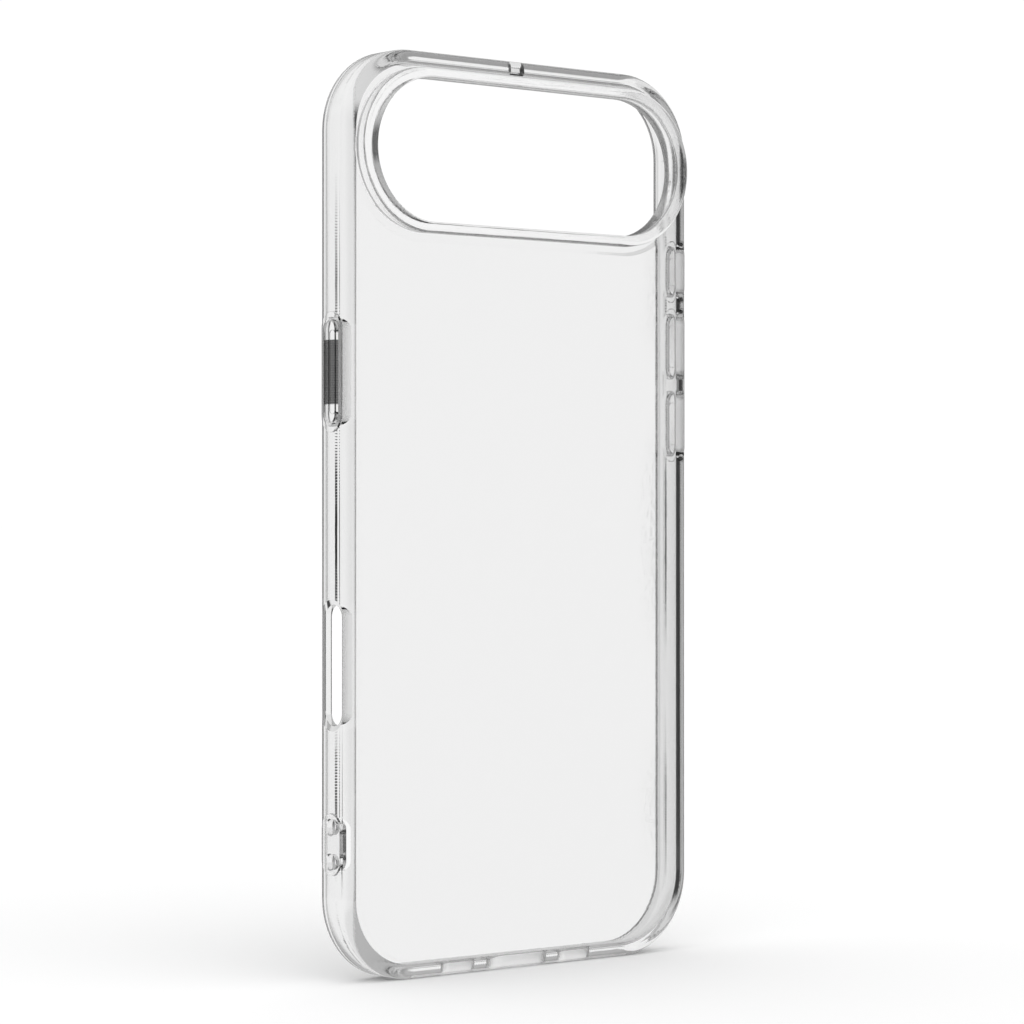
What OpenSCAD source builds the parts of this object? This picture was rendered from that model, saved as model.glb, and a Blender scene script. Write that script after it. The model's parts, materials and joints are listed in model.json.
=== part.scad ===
// Clear case for a large, thin phone with a wide camera window. A soft clear frame wraps the
// phone's edge and holds a hard clear back panel, a raised ring round the camera window, a
// small hard insert for a lanyard, and four button pads that each press in on a thin web.
// The case stands on its bottom edge: X to the right seen from behind, Y from the back
// towards the screen, Z up along its length, origin in the middle of its footprint.

/* [Phone] */
// Width of the phone that the case fits
phone_w = 74.7; // [60:0.1:92]
// Length of the phone
phone_l = 156.2; // [128:0.1:190]
// Thickness of the phone's body
phone_t = 5.7; // [4.7:0.1:9]
// Gap between the phone and the wall, on each side
phone_gap = 0.1; // [0.05:0.05:0.3]

/* [Shell] */
// Thickness of the side walls
wall = 1.6; // [1.3:0.1:2.4]
// Thickness of the back
back_t = 1.2; // [1:0.1:2]
// Radius of the four corners, seen from behind
corner_r = 14.5; // [11:0.1:18]
// Rounding of the outer edge round the back
back_edge_r = 2; // [1:0.1:2.6]
// Rounding of the outer edge round the screen
lip_edge_r = 1; // [0.6:0.1:1.8]
// How far the lip reaches over the screen's border
lip_w = 0.4; // [0.35:0.05:0.6]
// Height of the lip above the screen
lip_t = 0.7; // [0.6:0.05:1]
// Radius of the hollow in the wall's inner side, which follows the phone's rounded edge
hollow_r = 9.5; // [8:0.5:40]
// Distance from the screen to the deepest place of that hollow
hollow_top = 1.5; // [1:0.1:2]

/* [Back panel] */
// Flat of soft frame between the foot of the wall and the panel's inner face
panel_land = 0.05; // [0.05:0.05:2]
// Width of the step that locks the panel, and the camera ring, in the soft frame
lap = 0.6; // [0.4:0.1:1]
// Width of soft frame between the camera ring and the panel
panel_ring_gap = 1.4; // [1:0.1:4]

/* [Camera window] */
// Distance from the phone's side to the end of the window
window_side = 3.35; // [3.2:0.05:8]
// Distance from the phone's top to the window
window_top = 3.2; // [3:0.1:8]
// Height of the window along the phone
window_h = 24.8; // [20:0.1:32]
// Thickness of the ring along its straight sides
ring_side = 1.75; // [1.2:0.05:2]
// Thickness of the ring at its two ends
ring_end = 2.9; // [1.8:0.1:2.9]
// How far the ring stands out of the back
ring_h = 2.4; // [1:0.1:4]
// Rounding between the ring's wall and its foot
ring_fillet = 0.3; // [0.2:0.1:0.5]

/* [Buttons] */
// Width of every button pad, front to back
pad_w = 3.4; // [2.6:0.1:3.8]
// How far the pads stand out of the wall
pad_proud = 0.6; // [0.4:0.1:1]
// How far the raised land round the pads stands out of the wall
land_proud = 0.3; // [0.1:0.05:0.5]
// Length of the land past each end of a window
land_end = 1; // [0.5:0.1:1.4]
// Width of the land beside a window
land_side = 0.6; // [0.4:0.1:0.8]
// Width of the thin web round each pad
web_w = 0.45; // [0.35:0.05:0.7]
// Thickness of the web
web_t = 0.45; // [0.3:0.05:0.6]
// Running gap between a web and its pad
web_gap = 0.06; // [0.04:0.01:0.12]
// Depth of the pocket behind a pad, which clears the phone's own button
pocket_depth = 1; // [0.8:0.1:1.2]
// How far the contact rib stands out of the pad's inner face
rib_h = 0.5; // [0.2:0.05:0.6]
// Width of the contact rib
rib_w = 1.6; // [1:0.1:2.2]
// Distance from a pad's end to the end of its contact rib
rib_end = 1.7; // [1.3:0.1:2.4]
// Length of the side button's pad, on the left wall
side_pad_l = 17.7; // [10:0.1:24]
// Distance from the phone's top to the middle of the side button
side_pad_top = 54; // [50:0.1:60]
// Length of the action button's pad, on the right wall
action_pad_l = 8.5; // [7:0.1:12]
// Distance from the phone's top to the middle of the action button
action_pad_top = 33.4; // [33:0.1:44]
// Length of each volume pad
volume_pad_l = 11.2; // [8:0.1:15]
// Frame left standing between the two volume windows
volume_bridge = 2.1; // [1.2:0.1:4]
// Gap between the action button's land and the volume buttons' land
land_gap = 1; // [1:0.1:6]

/* [Touch control slot] */
// Length of the slot on the left wall
slot_l = 20.6; // [14:0.1:26]
// Width of the slot, front to back
slot_w = 4.6; // [4.4:0.1:5]
// Distance from the phone's bottom to the middle of the slot
slot_bottom = 52.4; // [50:0.1:56]
// Depth of the dished surround, where a finger slides
slot_dish = 0.4; // [0.2:0.1:0.7]
// Width of the dished surround round the slot
slot_dish_w = 0.9; // [0.4:0.1:1.2]

/* [Lanyard insert] */
// Length of the insert's flange
lanyard_l = 10.7; // [10:0.1:14]
// Width of the insert's flange, front to back
lanyard_w = 5.4; // [4.8:0.1:5.6]
// How far the flange stands out of the wall
lanyard_proud = 0.3; // [0.2:0.05:0.6]
// How deep the flange is seated in the wall
lanyard_seat = 0.4; // [0.3:0.05:0.8]
// Width of the flange round the insert's core
lanyard_flange = 0.6; // [0.3:0.1:0.7]
// Diameter of the two cord holes
cord_hole_d = 2.6; // [2:0.1:3]
// Distance between the two cord holes
cord_hole_pitch = 5.9; // [5.2:0.1:6.2]
// Distance from the phone's bottom to the middle of the insert
lanyard_bottom = 22; // [20:0.1:30]

/* [Bottom and top openings] */
// Width of the charging port's opening
port_w = 13.2; // [12:0.1:16]
// Height of the charging port's opening, front to back
port_h = 4.8; // [4.4:0.1:5]
// Width of each sound slot beside the port
sound_w = 7.2; // [5:0.1:9]
// Height of each sound slot, front to back
sound_h = 2.6; // [1.6:0.1:3.4]
// Frame left standing between the port and a sound slot
sound_bridge = 3; // [2.6:0.1:6]
// Depth of the dished edge round the bottom openings
bottom_dish = 0.5; // [0.2:0.1:0.8]
// Width of that dished edge
bottom_dish_w = 0.9; // [0.4:0.1:1.2]
// Width of the microphone notch in the top wall
mic_w = 3; // [2:0.1:5]
// Height of the microphone notch, front to back
mic_h = 1.3; // [0.8:0.1:2]

/* [Hidden] */
$fn = 64;
over = 1;                                // how far a cutter runs past what it cuts
bite = 0.1;                              // how far joined pieces of one solid overlap

// Overall sizes
case_w = phone_w + 2 * (phone_gap + wall);
case_l = phone_l + 2 * (phone_gap + wall);
case_t = back_t + phone_t + lip_t;
back_y = (ring_h - case_t) / 2;          // puts the whole case evenly about Y = 0
phone_bottom = wall + phone_gap;
phone_top = phone_bottom + phone_l;
side_mid = back_t + phone_t / 2;         // depth of the phone's mid-plane below the back

// Camera window and the ring round it, both oblongs about one centre
window_l = phone_w - 2 * window_side;
window_y = phone_top - window_top - window_h / 2;
ring_h_out = window_h + 2 * ring_side;
ring_l_out = window_l + 2 * ring_end;
ring_reach = 4;                          // profile width that fills in to the window
ring_top_r = 0.7;                        // rounding of the ring's outer rim
ring_bore_r = 0.3;                       // easing of the ring's two inner rims

// Back panel
hollow_mid = back_t + phone_t - hollow_top; // depth of the hollow's deepest place
wall_foot = wall + hollow_r - sqrt(hollow_r * hollow_r - pow(hollow_mid - back_t, 2));
panel_inset = wall_foot + panel_land;
rim_w = panel_inset + lap;               // width of the frame's flat rim round the panel
surround = ring_fillet + panel_ring_gap; // from the ring's wall to the panel's outer face
deck_start = window_y - ring_h_out / 2 - surround - over;
horn_trim = 0.7;                         // blunts the panel's corners beside the ring
horn_drop = horn_trim + surround_drop(rim_w, surround);

// Depth below the window's middle at which the ring's surround meets the panel's side edge
function surround_drop(inset, clear) =
    let (r = ring_h_out / 2 + clear, dx = case_w / 2 - inset - (ring_l_out - ring_h_out) / 2)
    sqrt(max(0, r * r - dx * dx));

// Buttons, measured along the case
window_w = pad_w + 2 * web_w;            // width of a button's window in the wall
pad_t = wall - pocket_depth + pad_proud;
pad_edge_r = 0.2;
side_y = phone_top - side_pad_top;
action_y = phone_top - action_pad_top;
volume_window_l = volume_pad_l + 2 * web_w;
volume_up_y = action_y - action_pad_l / 2 - web_w - 2 * land_end - land_gap - volume_window_l / 2;
volume_down_y = volume_up_y - volume_window_l - volume_bridge;

// Other openings
slot_y = phone_bottom + slot_bottom;
lanyard_y = phone_bottom + lanyard_bottom;
lanyard_core_l = lanyard_l - 2 * lanyard_flange;
lanyard_core_w = lanyard_w - 2 * lanyard_flange;
cord_hole_ease = 0.2;                    // countersink at the outer mouth of a cord hole
sound_x = port_w / 2 + sound_bridge + sound_w / 2;

CLEAR_SOFT = [0.86, 0.88, 0.89, 0.45];
CLEAR_HARD = [0.93, 0.94, 0.95, 0.45];

// ---- Places. Laid flat, the back faces up at z = 0 and the case reaches down to -case_t. ----

module stand() { translate([0, back_y, 0]) rotate([90, 0, 0]) children(); }

// On the outer face of a side wall: z outwards, y along the case
module on_side(side, y) {
    translate([side * case_w / 2, y, -side_mid]) rotate([0, side * 90, 0]) children();
}

// On the bottom or the top edge: z outwards, y across the case
module on_bottom(x) { translate([x, 0, -side_mid]) rotate([90, 0, 0]) rotate(90) children(); }
module on_top(x) { translate([x, case_l, -side_mid]) rotate([-90, 0, 0]) rotate(90) children(); }

// ---- Outlines and profiles ----

module rounded_rect(w, l, r) {
    square([w - 2 * r, l], center = true);
    square([w, l - 2 * r], center = true);
    for (x = [-1, 1], y = [-1, 1]) translate([x * (w / 2 - r), y * (l / 2 - r)]) circle(r);
}

// The case's outline seen from behind, moved in by a distance
module case_outline(inset) {
    translate([0, case_l / 2])
        rounded_rect(case_w - 2 * inset, case_l - 2 * inset, corner_r - inset);
}

// An oblong l long in y and w wide in x
module oblong(l, w) {
    square([w, l - w], center = true);
    for (side = [-1, 1]) translate([0, side * (l - w) / 2]) circle(d = w);
}

// The ring's outer outline, moved out by a distance
module ring_outline(out) {
    translate([0, window_y]) rotate(90) oblong(ring_l_out + 2 * out, ring_h_out + 2 * out);
}

// Cuts an outer corner of a profile to an arc, placed at the arc's centre
module corner_cut(r, turn) { rotate(turn) difference() { square(r + over); circle(r); } }

// Fills an inner corner of a profile with an arc, placed at the arc's centre
module corner_fill(r, turn) { rotate(turn) difference() { square(r); circle(r); } }

// The panel's outline: the case's outline, up to the surround of the camera ring
module panel_outline(inset, ring_clear) {
    difference() {
        intersection() {
            case_outline(inset);
            translate([-case_w, 0]) square([2 * case_w, window_y]);
        }
        ring_outline(ring_clear);
        for (side = [-1, 1])
            translate([side * case_w / 2, window_y]) square([case_w / 2, 2 * horn_drop], center = true);
    }
}

// ---- Solids that repeat ----

// An oblong that changes width from w to w2 over height h, about the same end centres
module oblong_taper(l, w, w2, h) {
    rotate([90, 0, 0]) linear_extrude(l - w, center = true)
        polygon([[-w / 2, 0], [w / 2, 0], [w2 / 2, h], [-w2 / 2, h]]);
    for (side = [-1, 1]) translate([0, side * (l - w) / 2, 0]) cylinder(d1 = w, d2 = w2, h = h);
}

// An oblong block, h high, with a sloped edge of width ease round its top
module pill(l, w, h, ease) {
    linear_extrude(h - ease) oblong(l, w);
    translate([0, 0, h - ease]) oblong_taper(l, w, w - 2 * ease, ease);
}

// Cuts an oblong hole through a wall, from outside, with a dished edge
module dished_hole(l, w, dish, dish_w) {
    translate([0, 0, -wall - over]) linear_extrude(wall + 2 * over) oblong(l, w);
    translate([0, 0, -dish]) oblong_taper(l, w, w + 2 * dish_w, dish);
    linear_extrude(over) oblong(l + 2 * dish_w, w + 2 * dish_w);
}

module straight(length) { rotate([90, 0, 0]) linear_extrude(length, center = true) children(); }

// Sweeps a profile round the case's edge; x = 0 is the outer face
module round_the_edge() {
    for (turn = [0, 180]) translate([0, case_l / 2, 0]) rotate(turn) {
        translate([case_w / 2, 0, 0]) straight(case_l - 2 * corner_r) children();
        translate([0, case_l / 2, 0]) rotate(90) straight(case_w - 2 * corner_r) children();
        translate([case_w / 2 - corner_r, case_l / 2 - corner_r, 0])
            rotate_extrude(angle = 90) translate([corner_r, 0]) children();
        translate([corner_r - case_w / 2, case_l / 2 - corner_r, 0])
            rotate(90) rotate_extrude(angle = 90) translate([corner_r, 0]) children();
    }
}

// Sweeps a profile round an oblong about the camera window; x = 0 is the oblong's edge
module round_the_window(l, w) {
    for (turn = [0, 180]) translate([0, window_y, 0]) rotate(turn) {
        translate([0, w / 2, 0]) rotate(90) straight(l - w) children();
        translate([(l - w) / 2, 0, 0]) rotate(-90)
            rotate_extrude(angle = 180) translate([w / 2, 0]) children();
    }
}

// ---- Frame ----

// Cross-section of the soft frame: wall, lip over the screen and stepped rim round the panel
module frame_profile() {
    lip_end = -wall - lip_w;
    lip_under = lip_t - case_t;
    lip_nose_r = lip_t * 0.4;
    difference() {
        union() {
            difference() {
                translate([-wall_foot, -case_t]) square([wall_foot, case_t]);
                translate([-wall - hollow_r, -hollow_mid]) circle(hollow_r);
                translate([-wall_foot - over, -case_t - over]) square([wall_foot + over - wall, lip_t + over]);
            }
            translate([lip_end, -case_t]) square([lip_w + wall, lip_t]);
            translate([-rim_w, -back_t / 2]) square([rim_w, back_t / 2]);
            translate([-panel_inset, -back_t]) square([panel_inset, back_t]);
        }
        translate([-back_edge_r, -back_edge_r]) corner_cut(back_edge_r, 0);
        translate([-lip_edge_r, lip_edge_r - case_t]) corner_cut(lip_edge_r, 270);
        translate([lip_end + lip_nose_r, lip_nose_r - case_t]) corner_cut(lip_nose_r, 180);
        translate([lip_end + lip_nose_r, lip_under - lip_nose_r]) corner_cut(lip_nose_r, 90);
    }
}

// The part of the deck above the panel between two depths, out to an inset from the edge
module deck_layer(z, inset, panel_clear) {
    translate([0, 0, z]) linear_extrude(back_t / 2) difference() {
        intersection() {
            case_outline(inset - bite);
            translate([-case_w, deck_start]) square([2 * case_w, case_l]);
        }
        panel_outline(inset, panel_clear);
    }
}

// The flat soft deck that the camera ring sits in
module camera_deck() {
    deck_layer(-back_t / 2, rim_w, surround);
    deck_layer(-back_t, panel_inset, surround - lap);
}

// Stepped seat for the camera ring's foot, cut through the deck and the rim beside it
module ring_seat() {
    translate([0, 0, -back_t / 2]) linear_extrude(back_t / 2 + over) ring_outline(ring_fillet);
    translate([0, 0, -back_t]) linear_extrude(back_t + over) ring_outline(ring_fillet - lap);
}

// Raised land on a side wall, sunk into the wall's rounded edges
module land(side, y, l) {
    sink = wall / 2;
    on_side(side, y) translate([0, 0, -sink])
        pill(l + 2 * land_end, window_w + 2 * land_side, sink + land_proud, land_proud / 2);
}

module button_window(side, y, pad_l) {
    on_side(side, y) translate([0, 0, -wall - over])
        linear_extrude(wall + 2 * over) oblong(pad_l + 2 * web_w, window_w);
}

module lanyard_cut() {
    on_side(-1, lanyard_y) {
        translate([0, 0, -wall - over]) linear_extrude(wall + over) oblong(lanyard_core_l, lanyard_core_w);
        translate([0, 0, -lanyard_seat]) linear_extrude(lanyard_seat + over) oblong(lanyard_l, lanyard_w);
    }
}

module bumper_frame() {
    volume_mid = (volume_up_y + volume_down_y) / 2;
    color(CLEAR_SOFT) stand() difference() {
        union() {
            round_the_edge() frame_profile();
            camera_deck();
            land(-1, side_y, side_pad_l + 2 * web_w);
            land(1, action_y, action_pad_l + 2 * web_w);
            land(1, volume_mid, 2 * volume_window_l + volume_bridge);
        }
        button_window(-1, side_y, side_pad_l);
        button_window(1, action_y, action_pad_l);
        button_window(1, volume_up_y, volume_pad_l);
        button_window(1, volume_down_y, volume_pad_l);
        ring_seat();
        lanyard_cut();
        on_side(-1, slot_y) dished_hole(slot_l, slot_w, slot_dish, slot_dish_w);
        on_bottom(0) dished_hole(port_w, port_h, bottom_dish, bottom_dish_w);
        for (side = [-1, 1])
            on_bottom(side * sound_x) dished_hole(sound_w, sound_h, bottom_dish, bottom_dish_w);
        on_top(0) translate([0, 0, -wall / 2]) cube([mic_h, mic_w, wall + 2 * over], center = true);
    }
}

// ---- Hard pieces held in the frame ----

module back_panel() {
    color(CLEAR_HARD) stand() {
        translate([0, 0, -back_t / 2]) linear_extrude(back_t / 2) panel_outline(rim_w, surround);
        translate([0, 0, -back_t]) linear_extrude(back_t / 2) panel_outline(panel_inset, surround - lap);
    }
}

// Outer half of the ring's cross-section, with its stepped foot; x = 0 is the outer wall
module ring_profile() {
    difference() {
        union() {
            translate([-ring_reach, 0]) square([ring_reach, ring_h]);
            translate([-ring_reach, -back_t / 2]) square([ring_reach + ring_fillet, back_t / 2]);
            translate([-ring_reach, -back_t]) square([ring_reach + ring_fillet - lap, back_t]);
            translate([ring_fillet, ring_fillet]) corner_fill(ring_fillet, 180);
        }
        translate([-ring_top_r, ring_h - ring_top_r]) corner_cut(ring_top_r, 0);
    }
}

// What the window takes out of the ring; x = 0 is the window's edge
module window_profile() {
    translate([-ring_reach, -back_t - over]) square([ring_reach, back_t + ring_h + 2 * over]);
    translate([ring_bore_r, ring_h - ring_bore_r]) corner_cut(ring_bore_r, 90);
    translate([ring_bore_r, ring_bore_r - back_t]) corner_cut(ring_bore_r, 180);
}

module camera_ring() {
    color(CLEAR_HARD) stand() difference() {
        round_the_window(ring_l_out, ring_h_out) ring_profile();
        round_the_window(window_l, window_h) window_profile();
    }
}

module lanyard_insert() {
    color(CLEAR_HARD) stand() on_side(-1, lanyard_y) difference() {
        union() {
            translate([0, 0, -wall]) linear_extrude(wall) oblong(lanyard_core_l, lanyard_core_w);
            translate([0, 0, -lanyard_seat])
                pill(lanyard_l, lanyard_w, lanyard_seat + lanyard_proud, lanyard_proud / 2);
        }
        for (side = [-1, 1]) translate([0, side * cord_hole_pitch / 2, 0]) {
            translate([0, 0, -wall - over])
                cylinder(d = cord_hole_d, h = wall + lanyard_proud + 2 * over);
            translate([0, 0, lanyard_proud - cord_hole_ease])
                cylinder(d1 = cord_hole_d, d2 = cord_hole_d + 4 * cord_hole_ease, h = 2 * cord_hole_ease);
        }
    }
}

// ---- Buttons ----

// Pad with a contact rib on its inner face
module button_pad(side, y, l) {
    color(CLEAR_SOFT) stand() on_side(side, y) {
        translate([0, 0, -wall + pocket_depth]) pill(l, pad_w, pad_t, pad_edge_r);
        translate([0, 0, -wall + pocket_depth - rib_h])
            linear_extrude(rib_h) oblong(l - 2 * rib_end, rib_w);
    }
}

// Thin web that closes the window round a pad
module button_web(side, y, l) {
    color(CLEAR_SOFT) stand() on_side(side, y) translate([0, 0, -wall + pocket_depth])
        linear_extrude(web_t) difference() {
            oblong(l + 2 * web_w, window_w);
            oblong(l + 2 * web_gap, pad_w + 2 * web_gap);
        }
}

module side_button_pad() { button_pad(-1, side_y, side_pad_l); }
module side_button_web() { button_web(-1, side_y, side_pad_l); }
module action_button_pad() { button_pad(1, action_y, action_pad_l); }
module action_button_web() { button_web(1, action_y, action_pad_l); }
module volume_up_pad() { button_pad(1, volume_up_y, volume_pad_l); }
module volume_up_web() { button_web(1, volume_up_y, volume_pad_l); }
module volume_down_pad() { button_pad(1, volume_down_y, volume_pad_l); }
module volume_down_web() { button_web(1, volume_down_y, volume_pad_l); }

bumper_frame();
back_panel();
camera_ring();
lanyard_insert();
side_button_pad();
side_button_web();
action_button_pad();
action_button_web();
volume_up_pad();
volume_up_web();
volume_down_pad();
volume_down_web();
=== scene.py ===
"""Clear phone case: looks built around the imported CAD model."""
import json
import math
import bpy
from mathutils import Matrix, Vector


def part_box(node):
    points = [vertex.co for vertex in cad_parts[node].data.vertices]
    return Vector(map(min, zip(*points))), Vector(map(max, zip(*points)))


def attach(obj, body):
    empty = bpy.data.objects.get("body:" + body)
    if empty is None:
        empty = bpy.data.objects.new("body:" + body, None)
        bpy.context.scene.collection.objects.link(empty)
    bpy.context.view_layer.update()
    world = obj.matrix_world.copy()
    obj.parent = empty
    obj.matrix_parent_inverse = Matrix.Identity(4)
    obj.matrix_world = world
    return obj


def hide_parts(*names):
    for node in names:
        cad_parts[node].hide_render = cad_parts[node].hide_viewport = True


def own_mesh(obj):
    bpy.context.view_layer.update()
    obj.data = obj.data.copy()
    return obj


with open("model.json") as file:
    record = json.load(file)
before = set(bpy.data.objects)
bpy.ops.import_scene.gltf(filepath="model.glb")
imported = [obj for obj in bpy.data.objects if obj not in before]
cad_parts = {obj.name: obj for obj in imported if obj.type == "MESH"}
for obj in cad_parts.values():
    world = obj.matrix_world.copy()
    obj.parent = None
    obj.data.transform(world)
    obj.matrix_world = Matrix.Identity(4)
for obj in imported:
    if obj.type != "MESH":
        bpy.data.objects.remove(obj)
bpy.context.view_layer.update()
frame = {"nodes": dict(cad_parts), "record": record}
nodes = frame["nodes"]
scene = bpy.context.scene
MM = 0.001


def link(obj):
    scene.collection.objects.link(obj)
    return obj


# ---- Measures that come from the CAD nodes, in metres ----
low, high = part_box("back_panel")
BACK_Y, SEAT_Y = low.y, high.y              # outer and inner face of the back
LAP_Y = (BACK_Y + SEAT_Y) / 2               # step of the lap joints

low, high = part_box("bumper_frame")
CASE_MID = (low + high) / 2
LAND_PROUD = 0.3 * MM                       # how far the lands round the buttons stand out
WALL_X = high.x - LAND_PROUD                # outer face of the side walls

low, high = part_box("camera_ring")
RING_MID = (low + high) / 2
RING_HALF = (high - low) / 2

INSERT_LOW, INSERT_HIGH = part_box("lanyard_insert")
CORD_HOLES = [m for m in frame["record"]["mounts"] if m["kind"] == "bore"]

low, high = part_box("side_button_pad")
SIDE_Z = (low.z + high.z) / 2               # middle of the side button
SIDE_BAR_X = high.x - 0.55 * MM             # its pad is painted with a dark bar inward of this

# ---- Camera: the photograph's angle, level with the middle of the case ----
AZIMUTH, ELEVATION = math.radians(-39.6), math.radians(-0.2)
DISTANCE = 0.589
AIM = Vector((0, BACK_Y, 0.0802))
# unit vector from the case to the camera; the studio is built round it too
away = Vector((math.sin(AZIMUTH) * math.cos(ELEVATION), -math.cos(AZIMUTH) * math.cos(ELEVATION),
               math.sin(ELEVATION)))
cam_data = bpy.data.cameras.new("camera")
cam_data.sensor_width = 36
cam_data.lens = 117.6
cam_data.shift_x = -0.0124
cam_data.clip_start = 0.01
cam_data.clip_end = 100
cam = link(bpy.data.objects.new("camera", cam_data))
cam.location = AIM + away * DISTANCE
cam.rotation_euler = (math.pi / 2 - ELEVATION, 0, AZIMUTH)
scene.camera = cam


# ---- Node helpers ----
class Graph:
    """Short names for building one node tree."""

    def __init__(self, tree):
        self.nodes, self.links = tree.nodes, tree.links

    def put(self, kind, **props):
        node = self.nodes.new(kind)
        for key, value in props.items():
            setattr(node, key, value)
        return node

    def feed(self, socket, value):
        """Links an output to the socket, or sets the socket to a plain value."""
        if isinstance(value, bpy.types.NodeSocket):
            self.links.new(value, socket)
        else:
            socket.default_value = value

    def math(self, operation, *values):
        node = self.put("ShaderNodeMath", operation=operation)
        for i, value in enumerate(values):
            self.feed(node.inputs[i], value)
        return node.outputs[0]

    def step(self, value, start, end, smooth=True):
        """0 at start, 1 at end."""
        node = self.put("ShaderNodeMapRange", interpolation_type="SMOOTHSTEP" if smooth else "LINEAR")
        self.feed(node.inputs[0], value)
        self.feed(node.inputs[1], start)
        self.feed(node.inputs[2], end)
        return node.outputs[0]

    def mix(self, share, a, b):
        """A plain number: a where share is 0, b where it is 1."""
        node = self.put("ShaderNodeMix", data_type="FLOAT")
        self.feed(node.inputs[0], share)
        self.feed(node.inputs[2], a)
        self.feed(node.inputs[3], b)
        return node.outputs[0]

    def curve(self, value, low, high, stops, interpolation="EASE"):
        """A ramp of grey levels over value, from low to high. stops are (value, level)."""
        ramp = self.put("ShaderNodeValToRGB")
        ramp.color_ramp.interpolation = interpolation
        self.feed(ramp.inputs[0], self.step(value, low, high, smooth=False))
        elements = ramp.color_ramp.elements
        while len(elements) > 1:
            elements.remove(elements[-1])
        for i, (at, level) in enumerate(stops):
            at = (at - low) / (high - low)
            if i == 0:
                elements[0].position = at
                element = elements[0]
            else:
                element = elements.new(at)
            element.color = (level, level, level, 1)
        return ramp.outputs[0]

    def position(self):
        """X, Y and Z of the shaded point, in metres."""
        split = self.put("ShaderNodeSeparateXYZ")
        self.feed(split.inputs[0], self.put("ShaderNodeNewGeometry").outputs["Position"])
        return split.outputs

    def dots(self, a, b, pitch):
        """Height of rows of small dots along a and b, 0 to 1."""
        waves = [self.math("SINE", self.math("MULTIPLY", v, math.pi / pitch)) for v in (a, b)]
        return self.math("ABSOLUTE", self.math("MULTIPLY", *waves))


# ---- World: a pale studio. The camera sees white. What the clear walls mirror, and what is
# seen through them, is a ring of soft boxes and dark flags that stands still round the case. ----
# Brightness of the ring by azimuth: 0 is straight behind the case, positive to the right.
MIRRORED = [(-180, .35), (-118, .4), (-112, .02), (-80, .02), (-76, .45), (-70, .6), (-66, .1),
            (-44, .1), (-36, .5), (-12, .3), (0, .35), (30, .7), (38, .3), (58, .25), (66, .6),
            (80, .5), (84, .02), (92, .02), (97, .5), (180, .4)]
THROUGH = [(-180, .95), (-81, .95), (-70, .85), (-50, .85), (-44, .95), (-28, .93), (-13, 1),
           (20, 1), (34, .75), (60, .75), (75, .95), (180, .95)]
# A narrow dark flag just right of the middle: its density by azimuth, and by elevation.
FLAG = [(0, 0), (2.75, 0), (3, 1), (5.4, 1), (6, 0), (10, 0)]
FLAG_UP = [(-10, 0), (-5.7, 0), (-5.2, .95), (-4.3, .95), (-3.9, 0), (-1.9, 0), (-1.4, 1), (1, 1),
           (1.5, 0), (3.1, 0), (3.4, .95), (4.6, .6), (5.6, 0), (10, 0)]
# What the ring fades to below and above: brightness, and the elevations where it starts and ends.
MIRRORED_LOW, MIRRORED_HIGH = (0.5, -5, -11), (0.75, 18, 40)
THROUGH_LOW, THROUGH_HIGH = (0.85, -8, -11), (0.97, 9, 12)
LAMP_BEHIND, LAMP_FRONT = 0.75, 1.75        # light on matt surfaces, from behind and from the camera's side
LAMP_PASSED = 0.45                          # how much of it comes through the case
STRENGTH = 1.02


def fade(g, height, level, end):
    """The level, which fades to the end's brightness between its two elevations."""
    brightness, start, full = end
    return g.mix(g.step(height, start, full), level, brightness)


def build_world():
    world = bpy.data.worlds.new("studio")
    scene.world = world
    world.use_nodes = True
    g = Graph(world.node_tree)
    background = g.nodes["Background"]
    split = g.put("ShaderNodeSeparateXYZ")
    g.feed(split.inputs[0], g.put("ShaderNodeTexCoord").outputs["Generated"])
    x, y, z = split.outputs
    side = g.math("ADD", g.math("MULTIPLY", x, -away.y), g.math("MULTIPLY", y, away.x))
    behind = g.math("ADD", g.math("MULTIPLY", x, -away.x), g.math("MULTIPLY", y, -away.y))
    azimuth = g.math("DEGREES", g.math("ARCTAN2", side, behind))
    height = g.math("DEGREES", g.math("ARCSINE", z))

    mirrored = g.curve(azimuth, -180, 180, MIRRORED)
    mirrored = fade(g, height, mirrored, MIRRORED_LOW)
    mirrored = fade(g, height, mirrored, MIRRORED_HIGH)

    flag = g.math("MULTIPLY", g.curve(azimuth, 0, 10, FLAG, "LINEAR"),
                  g.curve(height, -10, 10, FLAG_UP, "LINEAR"))
    through = g.curve(azimuth, -180, 180, THROUGH)
    through = g.math("MULTIPLY", through, g.math("SUBTRACT", 1.0, flag))
    through = fade(g, height, through, THROUGH_LOW)
    through = fade(g, height, through, THROUGH_HIGH)

    path = g.put("ShaderNodeLightPath")
    glossy = g.math("GREATER_THAN", path.outputs["Glossy Depth"], 0.5)
    passed = g.math("GREATER_THAN", path.outputs["Transmission Depth"], 0.5)
    matt = g.math("GREATER_THAN", path.outputs["Diffuse Depth"], 0.5)
    lamp = g.mix(g.step(behind, 0.3, -0.8), LAMP_BEHIND, LAMP_FRONT)
    lamp = g.math("MULTIPLY", lamp, g.mix(passed, 1.0, LAMP_PASSED))
    light = g.mix(passed, 1.0, through)
    light = g.mix(glossy, light, mirrored)
    light = g.mix(matt, light, lamp)
    g.feed(background.inputs["Color"], light)
    background.inputs["Strength"].default_value = STRENGTH


build_world()
scene.view_settings.view_transform = "Standard"


# ---- Floor: plain pale paper ----
FLOOR_HALF = 40.0                           # metres, so that its edge lies at the horizon


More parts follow.
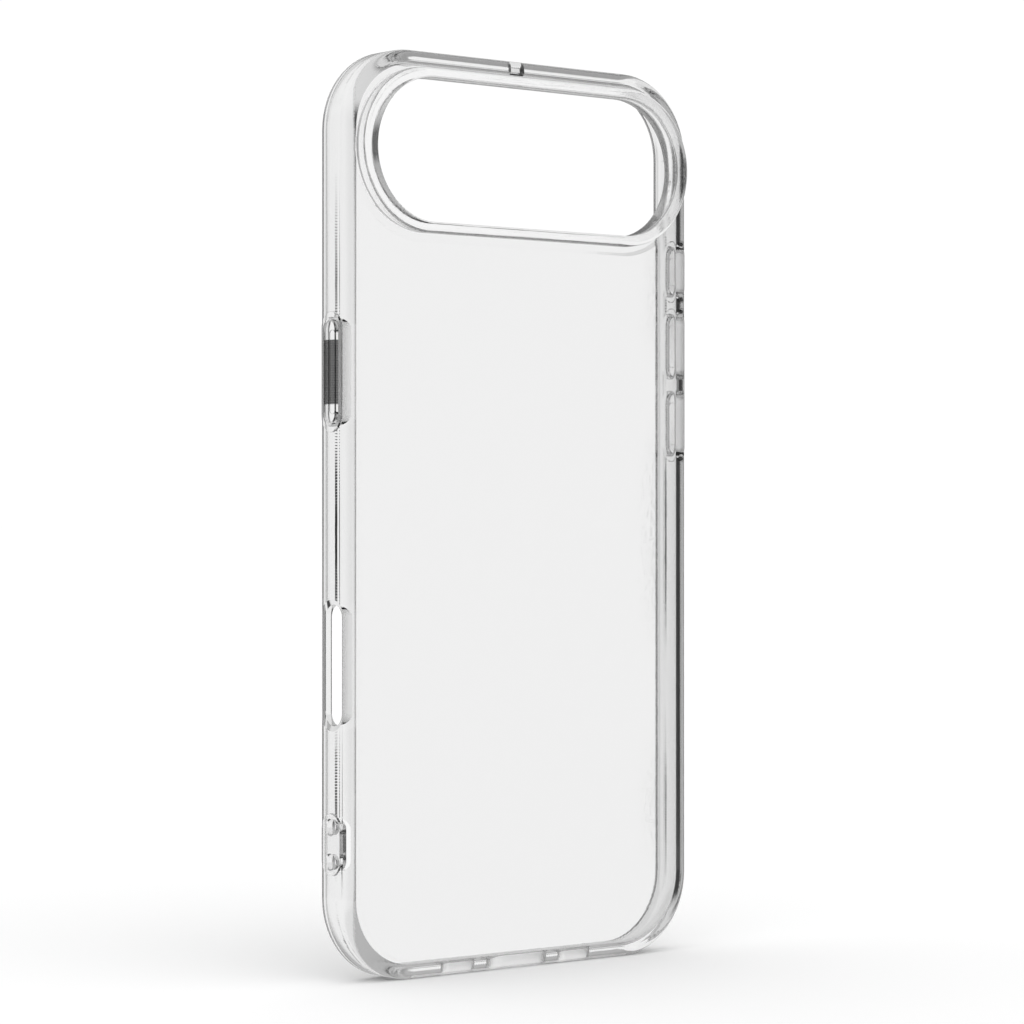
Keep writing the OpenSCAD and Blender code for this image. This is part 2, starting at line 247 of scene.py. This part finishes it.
def build_floor():
    corners = [(-1, -1), (1, -1), (1, 1), (-1, 1)]
    mesh = bpy.data.meshes.new("floor")
    mesh.from_pydata([(x * FLOOR_HALF, y * FLOOR_HALF, 0) for x, y in corners], [], [(0, 1, 2, 3)])
    floor = link(bpy.data.objects.new("floor", mesh))
    mat = bpy.data.materials.new("floor_white")
    mat.use_nodes = True
    g = Graph(mat.node_tree)
    paint = g.nodes["Principled BSDF"]
    paint.inputs["Base Color"].default_value = (0.95, 0.95, 0.95, 1)
    paint.inputs["Roughness"].default_value = 1.0
    paint.inputs["Specular IOR Level"].default_value = 0.0
    # the clear walls mirror the studio's ring of lamps and flags, and not the paper near them
    path = g.put("ShaderNodeLightPath")
    touched = g.math("MAXIMUM", path.outputs["Glossy Depth"], path.outputs["Transmission Depth"])
    mix = g.put("ShaderNodeMixShader")
    g.feed(mix.inputs[0], g.math("GREATER_THAN", touched, 0.5))
    g.feed(mix.inputs[1], paint.outputs[0])
    g.feed(mix.inputs[2], g.put("ShaderNodeBsdfTransparent").outputs[0])
    g.feed(g.nodes["Material Output"].inputs[0], mix.outputs[0])
    mesh.materials.append(mat)


build_floor()


# ---- Materials ----
DOT_PITCH = 0.5 * MM                        # moulded dots on the panel and the frame
DOT_HEIGHT_PANEL, DOT_HEIGHT_FRAME = 0.0022, 0.002      # heights are in millimetres
WAVE_HEIGHT_PANEL, WAVE_HEIGHT_FRAME = 0.004, 0.012     # slight unevenness of the moulding
WAVE_SCALE_PANEL, WAVE_SCALE_FRAME = 90, 220
DOT_SHADE = 0.05                            # light that the panel's dots hold back
BAR_DOT_PITCH = 0.42                        # the dark bar's values are in millimetres
BAR_DARK_HALF = 5.5                         # half the length of the dark bar
BAR_DARK_EDGE = 0.1
BAR_BLACK, BAR_DOT_SHADE = 0.001, 0.05
TOOL_MARK_SCALE = 9000.0                    # about nine tool marks to the millimetre
TOOL_MARK_HEIGHT = 0.02


def clear_material(name, ior, tint, rough, relief=None, shade=None):
    """A clear plastic. relief gives its surface height in millimetres, shade its tint by place."""
    mat = bpy.data.materials.new(name)
    mat.use_nodes = True
    g = Graph(mat.node_tree)
    shader = g.nodes["Principled BSDF"]
    shader.inputs["Base Color"].default_value = (tint, tint, tint, 1)
    shader.inputs["Transmission Weight"].default_value = 1
    shader.inputs["Roughness"].default_value = rough
    shader.inputs["IOR"].default_value = ior
    if shade:
        g.feed(shader.inputs["Base Color"], shade(g, tint))
    if relief:
        bump = g.put("ShaderNodeBump")
        bump.inputs["Strength"].default_value = 1.0
        bump.inputs["Distance"].default_value = MM
        g.feed(bump.inputs["Height"], relief(g))
        g.feed(shader.inputs["Normal"], bump.outputs[0])
    return mat


def lattice(g):
    """Moulded dots in diagonal rows over the case's width and length."""
    x, y, z = g.position()
    return g.dots(g.math("ADD", x, z), g.math("SUBTRACT", x, z), DOT_PITCH)


def panel_dots(g):
    """The panel has its dots on the inner face only."""
    inner = g.math("GREATER_THAN", g.position()[1], LAP_Y)
    return g.math("MULTIPLY", lattice(g), inner)


def panel_relief(g):
    wave = g.put("ShaderNodeTexNoise")
    wave.inputs["Scale"].default_value = WAVE_SCALE_PANEL
    return g.math("ADD", g.math("MULTIPLY", panel_dots(g), DOT_HEIGHT_PANEL),
                  g.math("MULTIPLY", wave.outputs[0], WAVE_HEIGHT_PANEL))


def panel_shade(g, tint):
    """The dots on the inner face hold back a little light."""
    return g.math("SUBTRACT", tint, g.math("MULTIPLY", panel_dots(g), DOT_SHADE))


def frame_relief(g):
    wave = g.put("ShaderNodeTexNoise")
    wave.inputs["Scale"].default_value = WAVE_SCALE_FRAME
    g.feed(wave.inputs["Vector"], g.put("ShaderNodeNewGeometry").outputs["Position"])
    return g.math("ADD", g.math("MULTIPLY", wave.outputs[0], WAVE_HEIGHT_FRAME),
                  g.math("MULTIPLY", lattice(g), DOT_HEIGHT_FRAME))


def ring_relief(g):
    """Fine tool marks that run round the ring, as noise stretched along it."""
    x, y, z = g.position()
    straight = RING_HALF.x - RING_HALF.z            # half the length of its straight sides
    off_x = g.math("ABSOLUTE", g.math("SUBTRACT", x, RING_MID.x))
    off_x = g.math("MAXIMUM", g.math("SUBTRACT", off_x, straight), 0.0)
    off_z = g.math("SUBTRACT", z, RING_MID.z)
    squares = [g.math("MULTIPLY", v, v) for v in (off_x, off_z)]
    radius = g.math("SQRT", g.math("ADD", *squares))
    turn = g.math("ARCTAN2", off_z, off_x)
    along = g.math("ADD", g.math("MULTIPLY", turn, 2.0), g.math("MULTIPLY", x, 60.0))
    vector = g.put("ShaderNodeCombineXYZ")
    g.feed(vector.inputs[0], g.math("MULTIPLY", radius, TOOL_MARK_SCALE))
    g.feed(vector.inputs[1], g.math("MULTIPLY", y, TOOL_MARK_SCALE))
    g.feed(vector.inputs[2], along)
    noise = g.put("ShaderNodeTexNoise")
    noise.inputs["Scale"].default_value = 1.0
    noise.inputs["Detail"].default_value = 3
    g.feed(noise.inputs["Vector"], vector.outputs[0])
    return g.math("MULTIPLY", noise.outputs[0], TOOL_MARK_HEIGHT)


def button_shade(g, tint):
    """A dark bar with fine rows of lighter dots, painted over the middle of the side button's pad, on its
    inward 0.55 mm.
    """
    x, y, z = [g.math("MULTIPLY", v, 1 / MM) for v in g.position()]
    dots = g.dots(y, z, BAR_DOT_PITCH)
    in_bar = g.math("MULTIPLY", g.math("GREATER_THAN", x, SIDE_BAR_X / MM), g.math("LESS_THAN", x, 0.0))
    from_middle = g.math("ABSOLUTE", g.math("SUBTRACT", z, SIDE_Z / MM))
    dark = g.step(from_middle, BAR_DARK_HALF + BAR_DARK_EDGE, BAR_DARK_HALF - BAR_DARK_EDGE, smooth=False)
    black = g.math("ADD", BAR_BLACK, g.math("MULTIPLY", g.math("POWER", dots, 2.0), BAR_DOT_SHADE))
    return g.mix(g.math("MULTIPLY", in_bar, dark), tint, black)


# Where two clear pieces touch there is no surface to see.
bond = bpy.data.materials.new("bonded_seam")
bond.use_nodes = True
bond.node_tree.nodes["Principled BSDF"].inputs["Alpha"].default_value = 0

SOFT_IOR, HARD_IOR, INSERT_IOR = 1.49, 1.52, 1.5
soft = clear_material("clear_soft", SOFT_IOR, 0.88, 0.0, frame_relief)
satin = clear_material("clear_soft_satin", SOFT_IOR, 0.95, 0.6)
pad_mat = clear_material("clear_soft_pad", SOFT_IOR, 0.9, 0.02, shade=button_shade)
web_mat = clear_material("clear_soft_web", SOFT_IOR, 0.9, 0.0)
hard = clear_material("clear_hard", HARD_IOR, 0.9, 0.0, panel_relief, panel_shade)
machined = clear_material("clear_ring", HARD_IOR, 0.94, 0.03, ring_relief)
frosted = clear_material("clear_insert", INSERT_IOR, 0.86, 0.12)


# ---- Faces: which ones are bonded to a neighbour or cut is told by where they lie ----
PLAIN, BONDED, CUT = 0, 1, 2                # a face's material: the piece's own, bond, or satin


def sideways(f):
    return abs(f.normal.y) < 0.5


def in_back(f):
    """Between the back's outer and inner face."""
    return BACK_Y < f.center.y < SEAT_Y


def on_lap(f):
    """On the step of a lap joint."""
    return abs(f.center.y - LAP_Y) < 0.05 * MM and abs(f.normal.y) > 0.9


def faces_to(f, point):
    return f.normal.dot(f.center - point) < 0


def not_outer(f):
    """Of the insert and of its seat: a side, or the flange's underside, but not the outer face."""
    return abs(f.normal.x) < 0.5 or f.center.x < INSERT_HIGH.x - 0.5 * MM


def insert_seat(f):
    """The seat and the hole in the frame that hold the lanyard insert."""
    edge = 0.1 * MM
    in_z = INSERT_LOW.z - edge < f.center.z < INSERT_HIGH.z + edge
    in_y = INSERT_LOW.y - edge < f.center.y < INSERT_HIGH.y + edge
    on_left_wall = f.center.x <= INSERT_HIGH.x + 0.8 * MM
    return in_z and in_y and on_left_wall and not_outer(f)


def wall_cut(f):
    """The side next to the back of an opening in one of the side walls."""
    in_wall = abs(f.center.x) > WALL_X - 2.7 * MM
    near_back = f.center.y < SEAT_Y + 1.2 * MM
    return in_wall and near_back and f.normal.y > 0.3 and abs(f.normal.x) < 0.2


def bottom_cut(f):
    """A wall of an opening in the bottom edge, or of its dished mouth."""
    in_edge = f.center.z < 2.2 * MM and abs(f.center.x) < 21 * MM
    return in_edge and abs(f.normal.z) < 0.9 and LAP_Y < f.center.y < 4.1 * MM


def frame_faces(f):
    if insert_seat(f):
        return BONDED
    if wall_cut(f) or bottom_cut(f):
        return CUT
    round_ring = f.center.z < RING_MID.z + 3 * MM and faces_to(f, RING_MID)
    joins = sideways(f) and in_back(f) and (faces_to(f, CASE_MID) or round_ring)
    return BONDED if on_lap(f) or joins else PLAIN


def in_cord_hole(f):
    for hole in CORD_HOLES:
        x, y, z = hole["pos_m"]
        radius = (hole["dims"]["r_mm"] + 0.06) * MM
        if math.hypot(f.center.y - y, f.center.z - z) < radius:
            return True
    return False


def insert_faces(f):
    """All of the insert that lies in the frame is bonded, except for its cord holes."""
    sunk = f.center.x > 0.01 * MM - WALL_X
    return BONDED if sunk and not_outer(f) and not in_cord_hole(f) else PLAIN


def panel_faces(f):
    return BONDED if on_lap(f) or sideways(f) else PLAIN


def ring_faces(f):
    joins = sideways(f) and in_back(f) and not faces_to(f, RING_MID)
    return BONDED if on_lap(f) or joins else PLAIN


# ---- Pieces ----
BUTTONS = {"side_button": 1, "action_button": -1, "volume_up": -1, "volume_down": -1}   # inward, along X
WEB_GAP = 0.04 * MM                         # keeps a web's skirt from touching the frame


def draw_in(mesh, box, gap):
    """Makes a mesh smaller about its middle by the gap along each axis."""
    low, high = box
    middle, size = (low + high) / 2, high - low
    for v in mesh.vertices:
        for i in range(3):
            v.co[i] = middle[i] + (v.co[i] - middle[i]) * (1 - gap / size[i])


def rebuild(node, name, material, faces=None, gap=0):
    """A piece of the case in place of a CAD node, with its faces' materials told apart."""
    mesh = nodes[node].data.copy()
    mesh.name = name
    mesh.materials.clear()
    mesh.materials.append(material)
    if faces:
        mesh.materials.append(bond)
        mesh.materials.append(satin)
        for f in mesh.polygons:
            f.material_index = faces(f)
    if gap:
        draw_in(mesh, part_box(node), gap)
    obj = link(bpy.data.objects.new(name, mesh))
    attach(obj, "case")
    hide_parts(node)
    return obj


def build_button(name):
    """Its pad keeps the CAD's shape and takes the pad material; its web is rebuilt as a skirt, drawn in a
    little so that it keeps clear of the frame.
    """
    pad, web = nodes[name + "_pad"], name + "_web"
    pad.data.materials.clear()
    pad.data.materials.append(pad_mat)
    skirt = rebuild(web, name + "_skirt", web_mat, gap=WEB_GAP)
    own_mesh(skirt)


rebuild("bumper_frame", "frame_shell", soft, frame_faces)
rebuild("back_panel", "panel_plate", hard, panel_faces)
rebuild("camera_ring", "ring_body", machined, ring_faces)
rebuild("lanyard_insert", "lanyard_block", frosted, insert_faces)
for name, inward in BUTTONS.items():
    build_button(name)
